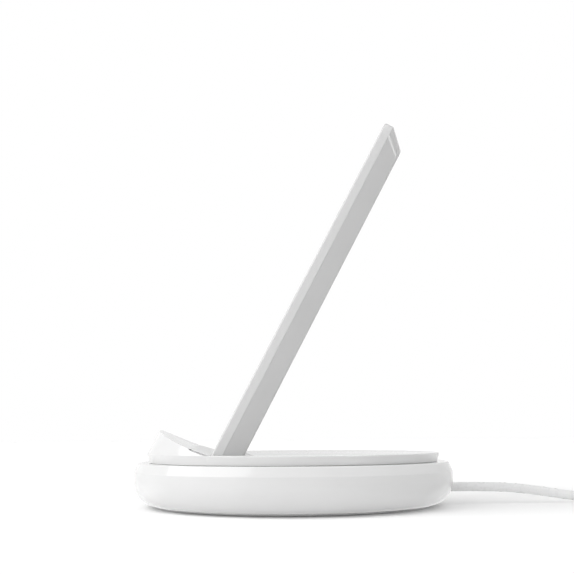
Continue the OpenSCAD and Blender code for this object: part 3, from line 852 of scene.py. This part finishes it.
def tie_mesh():
    """A soft band once round the bundle of turns."""
    steps = 16
    half = store_half + tie_gap
    top = store_h + tie_gap
    outer_rings = []
    inner_rings = []
    for k in range(steps + 1):
        angle = math.radians(90 - tie_angle / 2 + tie_angle * k / steps)
        soft = tie_edge if k in (0, steps) else 0
        outer = tie_section(half + tie_t - soft, soft - tie_t, top + tie_t - soft, tie_round)
        inner = tie_section(half, -tie_gap, top, tie_inner_round)
        for rings, section in ((outer_rings, outer), (inner_rings, inner)):
            rings.append([(store_x + r * math.cos(angle), store_y + r * math.sin(angle), tie_t + z)
                          for r, z in section])
    return bridge(outer_rings + inner_rings[::-1] + outer_rings[:1], closed=True)


tie = add_piece("cord_tie_band", *tie_mesh(), "tie_grey", "cord_tie")


# Floor and studio light

# Each panel has its direction in degrees round from the right and up from the floor, the angles from its
# middle to where it starts and ends to fade, how much flatter than round it is, and its strength.
sky_strength = 0.12
panels = [
    (192, 38, 28, 31, 1, 1.9),  # clear-edged softbox at the left, high
    (200, 5, 10, 75, 1, 0.27),  # wide glow at the left
    (225, 40, 10, 60, 1, 0.22),  # left of the camera, high
    (216, 8, 8, 40, 1, 0.38),  # left of the camera, low
    (135, 10, 10, 50, 1, 0.62),  # behind at the left
    (90, 8, 8, 40, 1, 0.44),  # behind
    (45, 10, 10, 50, 1, 0.45),  # behind at the right
    (0, 45, 10, 50, 1, 0.6),  # right, high
    (0, 90, 27, 29, 1, 0.6),  # clear-edged softbox overhead
    (280, 50, 10, 50, 1, 0.27),  # above the camera
    (313, 20, 3, 11, 1, 7),  # small and bright, right of the camera
    (0, -90, 70, 92, 1, 0.55),  # pale table, as mirrored rays see it
    (354, -3, 42, 45, 2, -0.8),  # dark card at the right, which takes light away
]

# Share of the white surroundings in what mirrored rays see
mirror_share = 0.5

floor_colour = 0.95
floor_lift = 0.09
floor_size = 4


def pale_floor():
    """White card that shows only the charger's shadow."""
    material = bpy.data.materials.new("floor")
    material.use_nodes = True
    tree = material.node_tree
    shader = tree.nodes["Principled BSDF"]
    shader.inputs["Base Color"].default_value = (*grey(floor_colour), 1)
    shader.inputs["Roughness"].default_value = 1
    shader.inputs["Specular IOR Level"].default_value = 0
    shader.inputs["Emission Color"].default_value = WHITE
    ray = tree.nodes.new("ShaderNodeLightPath")
    lift = calculate(tree, "MULTIPLY", ray.outputs["Is Camera Ray"], floor_lift)
    tree.links.new(lift, shader.inputs["Emission Strength"])
    return material


def panel_light(tree, place, azimuth, height, full, gone, flat, strength):
    """Strength of one round soft panel, which fades out between two angles from its middle."""
    a = math.radians(azimuth)
    h = math.radians(height)
    middle = Vector((math.cos(a) * math.cos(h), math.sin(a) * math.cos(h), math.sin(h) * flat))
    squash = tree.nodes.new("ShaderNodeVectorMath")
    squash.operation = "MULTIPLY"
    squash.inputs[1].default_value = (1, 1, flat)
    unit = tree.nodes.new("ShaderNodeVectorMath")
    unit.operation = "NORMALIZE"
    aim = tree.nodes.new("ShaderNodeVectorMath")
    aim.operation = "DOT_PRODUCT"
    aim.inputs[1].default_value = middle.normalized()
    fade = tree.nodes.new("ShaderNodeMapRange")
    fade.interpolation_type = "SMOOTHSTEP"
    fade.inputs["From Min"].default_value = math.cos(math.radians(gone))
    fade.inputs["From Max"].default_value = math.cos(math.radians(full))
    fade.inputs["To Max"].default_value = strength
    tree.links.new(place.outputs["Generated"], squash.inputs[0])
    tree.links.new(squash.outputs["Vector"], unit.inputs[0])
    tree.links.new(unit.outputs["Vector"], aim.inputs[0])
    tree.links.new(aim.outputs["Value"], fade.inputs["Value"])
    return fade.outputs["Result"]


def studio():
    """Soft panels light the charger, while the camera and rays through clear material see plain white.

    Mirrored rays see a mix of the panels alone with the brighter of the panels and the white.
    """
    world = bpy.data.worlds.new("world")
    scene.world = world
    world.use_nodes = True
    tree = world.node_tree
    place = tree.nodes.new("ShaderNodeTexCoord")
    ray = tree.nodes.new("ShaderNodeLightPath")
    total = sky_strength
    for panel in panels:
        total = calculate(tree, "ADD", total, panel_light(tree, place, *panel))
    mirrored = calculate(tree, "MULTIPLY", total, ray.outputs["Is Glossy Ray"])
    seen = calculate(tree, "ADD", ray.outputs["Is Camera Ray"], ray.outputs["Is Transmission Ray"])
    seen = calculate(tree, "MULTIPLY_ADD", ray.outputs["Is Glossy Ray"], mirror_share, seen, clamp=True)
    sky = tree.nodes["Background"]
    sky.inputs["Color"].default_value = WHITE
    tree.links.new(calculate(tree, "MAXIMUM", total, 0), sky.inputs["Strength"])
    white = tree.nodes.new("ShaderNodeBackground")
    white.inputs["Color"].default_value = WHITE
    tree.links.new(calculate(tree, "MAXIMUM", mirrored, 1), white.inputs["Strength"])
    pick = tree.nodes.new("ShaderNodeMixShader")
    tree.links.new(seen, pick.inputs["Fac"])
    tree.links.new(sky.outputs[0], pick.inputs[1])
    tree.links.new(white.outputs[0], pick.inputs[2])
    tree.links.new(pick.outputs[0], tree.nodes["World Output"].inputs["Surface"])


floor_corners = [(x * floor_size, y * floor_size, 0) for x, y in ((-1, -1), (1, -1), (1, 1), (-1, 1))]
floor_mesh = bpy.data.meshes.new("floor")
floor_mesh.from_pydata(floor_corners, [], [(0, 1, 2, 3)])
floor_mesh.materials.append(pale_floor())
floor = bpy.data.objects.new("floor", floor_mesh)
scene.collection.objects.link(floor)
floor.visible_glossy = False
studio()
